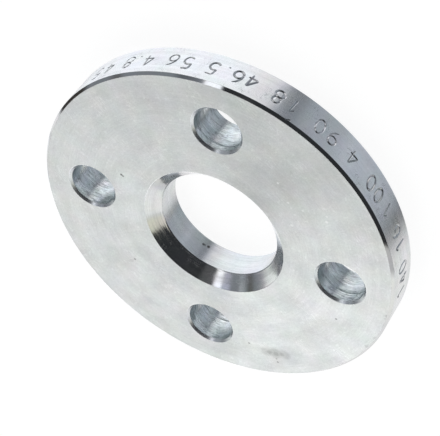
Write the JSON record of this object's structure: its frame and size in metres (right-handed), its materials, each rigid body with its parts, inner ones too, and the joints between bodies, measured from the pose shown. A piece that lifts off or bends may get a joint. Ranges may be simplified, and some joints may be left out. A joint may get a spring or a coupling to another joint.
{
  "type": "lap joint flange",
  "caption": "Flat round steel backing flange with a plain bore, a wide chamfer at one bore mouth and drilled bolt holes, loose on a pipe behind its lapped collar.",
  "frame": {"origin": "centre of the plain back face, which the flange lies on", "axes": "+Z along the bore axis, out of the lap face with the wide bore chamfer; the bolt holes lie at 45 degrees to +X and +Y, so the axes pass midway between them"},
  "size_m": [0.14, 0.14, 0.016],
  "materials": {
    "zinc_plated_steel": "satin, blue-passivated zinc plating over turned steel"
  },
  "bodies": {
    "root": {"loose_flange": "zinc_plated_steel"}
  },
  "joints": []
}
